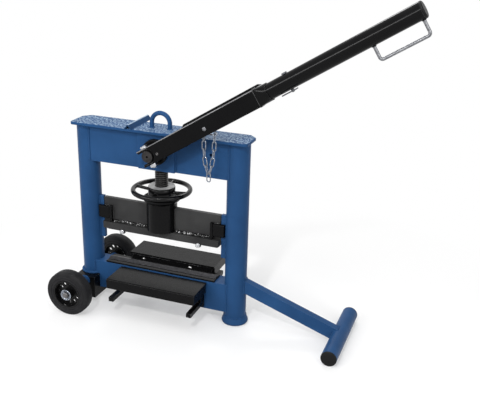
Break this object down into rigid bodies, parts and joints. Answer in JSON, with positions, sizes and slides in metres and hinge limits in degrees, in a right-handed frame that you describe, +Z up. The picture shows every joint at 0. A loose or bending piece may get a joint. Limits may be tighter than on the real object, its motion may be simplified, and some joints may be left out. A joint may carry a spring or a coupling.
{
  "type": "stone block splitter",
  "caption": "Hand-lever block splitter: steel portal frame on wheels and a foot bar, lever with eccentric, handwheel screw carriage and knives, side tables and a hanging chain.",
  "frame": {"origin": "middle of the whole part on the floor", "axes": "+X from the wheels towards the foot bar, -Y towards the lever side, +Z up"},
  "size_m": [0.954, 0.324, 0.8958],
  "materials": {
    "blue_paint": "semi-gloss enamel over steel, slight orange peel",
    "black_paint": "satin black enamel over steel",
    "grey_primer": "dull dark grey finish on rolled plate",
    "knife_steel": "hardened dark steel",
    "turned_steel": "turned and oiled steel",
    "zinc": "bright zinc plate",
    "bronze": "plain bearing bronze",
    "tyre_rubber": "matte black rubber",
    "rim_plastic": "moulded black plastic",
    "cap_plastic": "moulded black plastic"
  },
  "bodies": {
    "frame": {"left_post": "blue_paint", "right_post": "blue_paint", "right_foot": "blue_paint", "top_plate": "blue_paint", "front_beam_plate": "blue_paint", "rear_beam_plate": "blue_paint", "front_bearing_plate": "blue_paint", "rear_bearing_plate": "blue_paint", "shaft_bushes": "bronze", "yoke_guides": "black_paint", "crane_eye": "blue_paint", "lever_rest": "blue_paint", "lower_beam": "blue_paint", "knife_bed": "black_paint", "lower_knife": "knife_steel", "guide_rails": "blue_paint", "axle_carrier": "black_paint", "axle": "turned_steel", "axle_sleeves": "blue_paint", "hub_washers": "zinc", "support_leg": "blue_paint", "foot_tube": "blue_paint", "foot_tube_caps": "cap_plastic", "table_clamp_bolts": "zinc"},
    "lever": {"eccentric_shaft": "turned_steel", "shaft_collars": "black_paint", "lever_channel": "black_paint", "clamp_packing": "black_paint", "clamp_bolt": "zinc", "chain_bolt": "zinc", "lever_socket": "black_paint", "lever_tube": "black_paint", "tube_plug": "cap_plastic", "handle_loop": "zinc", "locking_pin": "zinc", "spring_clip": "zinc"},
    "chain": {"chain_ring": "zinc", "chain_links": "zinc"},
    "press": {"press_yoke": "black_paint", "spindle": "turned_steel"},
    "carriage": {"barrel": "black_paint", "barrel_collar": "black_paint", "carriage_web": "grey_primer", "carriage_base": "grey_primer", "guide_cheeks": "black_paint", "web_ribs": "black_paint", "upper_knife": "knife_steel", "knife_bolts": "zinc"},
    "handwheel": {"handwheel": "black_paint", "spindle_nut": "zinc"},
    "front_wheel": {"front_tyre": "tyre_rubber", "front_rim": "rim_plastic"},
    "rear_wheel": {"rear_tyre": "tyre_rubber", "rear_rim": "rim_plastic"},
    "front_table": {"front_table_top": "black_paint", "front_table_frame": "black_paint"},
    "rear_table": {"rear_table_top": "black_paint", "rear_table_frame": "black_paint"}
  },
  "joints": [
    {"name": "lever_swing", "type": "hinge", "parent": "frame", "child": "lever", "pos_m": [-0.19306, -0.063, 0.471], "axis": [0, 1, 0], "range_deg": [-30, 45]},
    {"name": "chain_swing", "type": "hinge", "parent": "lever", "child": "chain", "pos_m": [-0.03662, -0.068, 0.56337], "axis": [0, 1, 0], "range_deg": [-45, 30]},
    {"name": "press_lift", "type": "slide", "parent": "frame", "child": "press", "axis": [0, 0, 1], "range_m": [-0.006, 0.004]},
    {"name": "carriage_feed", "type": "slide", "parent": "press", "child": "carriage", "axis": [0, 0, 1], "range_m": [-0.06, 0.038]},
    {"name": "handwheel_turn", "type": "hinge", "parent": "carriage", "child": "handwheel", "pos_m": [-0.19306, 0, 0.355], "axis": [0, 0, 1], "range_deg": [-3600, 2280]},
    {"name": "front_wheel_spin", "type": "hinge", "parent": "frame", "child": "front_wheel", "pos_m": [-0.41306, -0.1365, 0.064], "axis": [0, 1, 0], "continuous": true},
    {"name": "rear_wheel_spin", "type": "hinge", "parent": "frame", "child": "rear_wheel", "pos_m": [-0.41306, 0.1365, 0.064], "axis": [0, 1, 0], "continuous": true},
    {"name": "front_table_height", "type": "slide", "parent": "frame", "child": "front_table", "axis": [0, 0, 1], "range_m": [-0.009, 0.033]},
    {"name": "rear_table_height", "type": "slide", "parent": "frame", "child": "rear_table", "axis": [0, 0, 1], "range_m": [-0.032, 0.01]}
  ],
  "couplings": [
    {"joint": "press_lift", "follows": "lever_swing", "m_per_rad": -0.007584},
    {"joint": "chain_swing", "follows": "lever_swing", "ratio": -1},
    {"joint": "carriage_feed", "follows": "handwheel_turn", "m_per_rad": 0.00095493}
  ]
}
